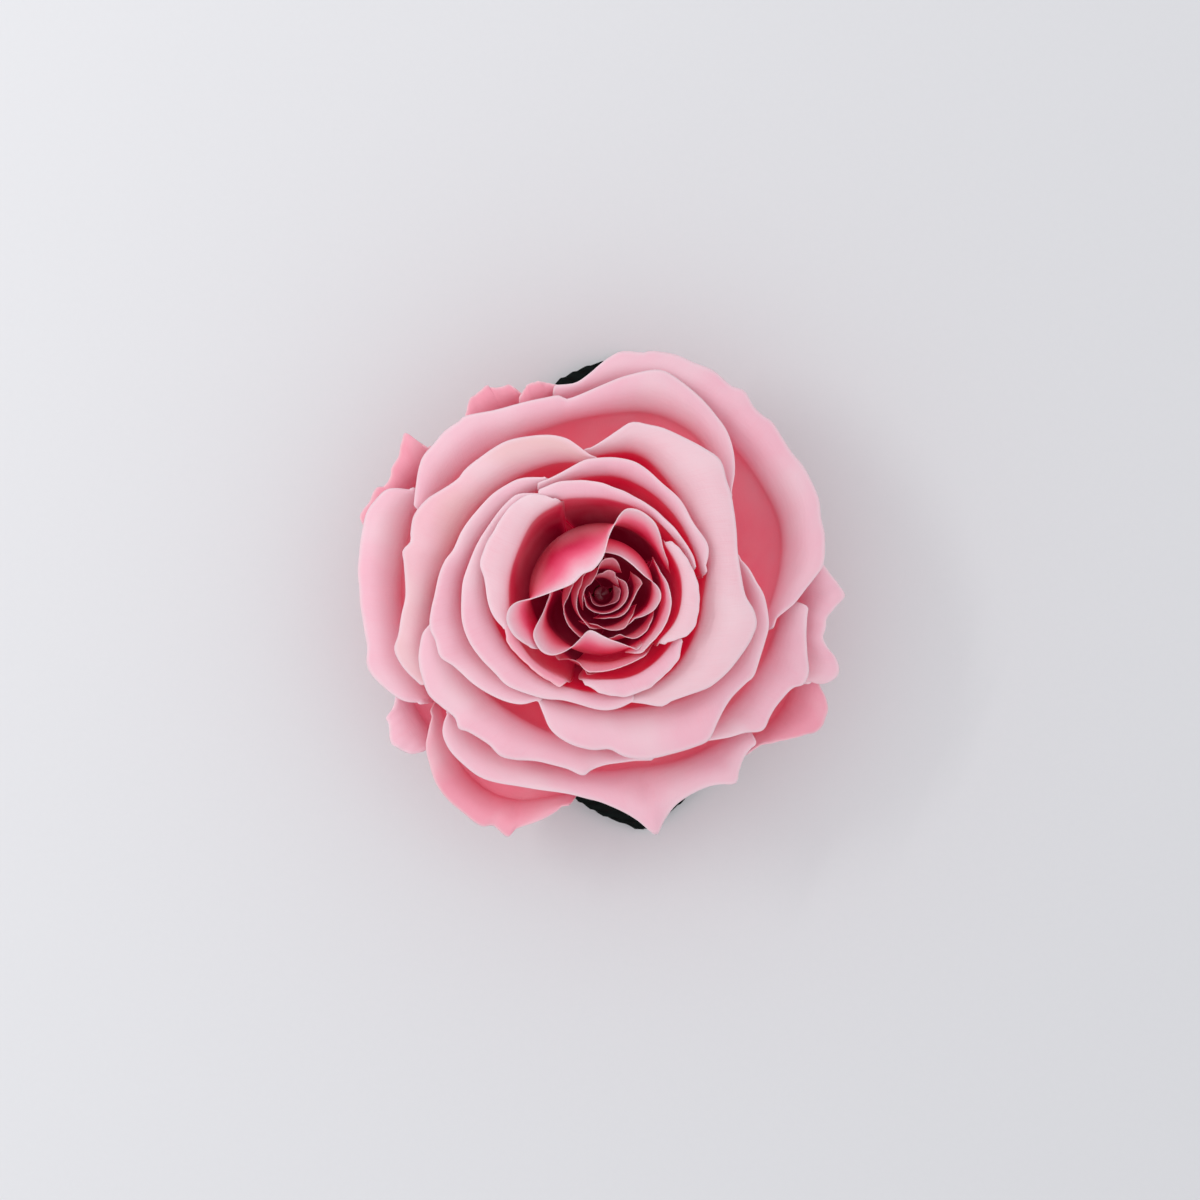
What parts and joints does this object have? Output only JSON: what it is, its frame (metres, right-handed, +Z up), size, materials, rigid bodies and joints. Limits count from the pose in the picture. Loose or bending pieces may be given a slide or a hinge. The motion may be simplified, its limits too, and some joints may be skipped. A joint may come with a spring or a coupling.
{
  "type": "open garden rose bloom",
  "caption": "Fully open pink rose seen face up, with layered rolled petals round a tight heart, on a short cut stem with hip, sepals and leaves",
  "frame": {"origin": "middle of the bounding box in plan, on the surface the rose rests on", "axes": "+Z up, the way the bloom faces; +Y towards the long upper petal"},
  "size_m": [0.0962, 0.0966, 0.059],
  "materials": {
    "petal": "soft satin, pale edges",
    "petal_deep": "soft satin, deeper pink",
    "leaf": "waxy, dark green",
    "stem": "smooth green",
    "sepal": "matte green"
  },
  "bodies": {
    "root": {"petal_outer_right": "petal", "petal_outer_top_small": "petal_deep", "petal_outer_upper_left": "petal_deep", "petal_outer_left_tip": "petal_deep", "petal_outer_left": "petal", "petal_outer_left_low": "petal", "petal_outer_lower_left": "petal_deep", "petal_outer_bottom": "petal", "petal_outer_lower_right": "petal_deep", "petal_outer_right_wave": "petal", "petal_outer_right_low": "petal", "petal_mid_top": "petal", "petal_mid_left": "petal", "petal_mid_right": "petal", "petal_mid_lower_left": "petal", "petal_mid_bottom": "petal", "petal_ring_top_outer": "petal", "petal_ring_top_inner": "petal", "petal_ring_left_outer": "petal", "petal_ring_left_middle": "petal", "petal_ring_left_inner": "petal", "petal_ring_lower_left": "petal_deep", "petal_ring_bottom": "petal", "petal_ring_right": "petal", "petal_inner_fold": "petal", "petal_inner_lower": "petal", "petal_inner_right": "petal", "petal_inner_cup": "petal", "petal_inner_left": "petal_deep", "petal_inner_left_small": "petal_deep", "petal_inner_bottom_edge": "petal_deep", "petal_inner_lobe": "petal_deep", "petal_heart_lower_tip": "petal_deep", "petal_heart_lower": "petal_deep", "petal_heart_right": "petal_deep", "petal_heart_swirl_left": "petal_deep", "petal_heart_swirl_right": "petal_deep", "petal_heart_top": "petal_deep", "petal_heart_core": "petal_deep", "petal_heart_bud": "petal_deep", "stem_and_hip": "stem", "leaf_stalk_top": "leaf", "leaflet_top_end": "leaf", "leaflet_top_left": "leaf", "leaflet_top_right": "leaf", "leaf_stalk_bottom": "leaf", "leaflet_bottom_end": "leaf", "leaflet_bottom_left": "leaf", "leaflet_bottom_right": "leaf", "sepal_1": "sepal", "sepal_2": "sepal", "sepal_3": "sepal", "sepal_4": "sepal", "sepal_5": "sepal"}
  },
  "joints": []
}
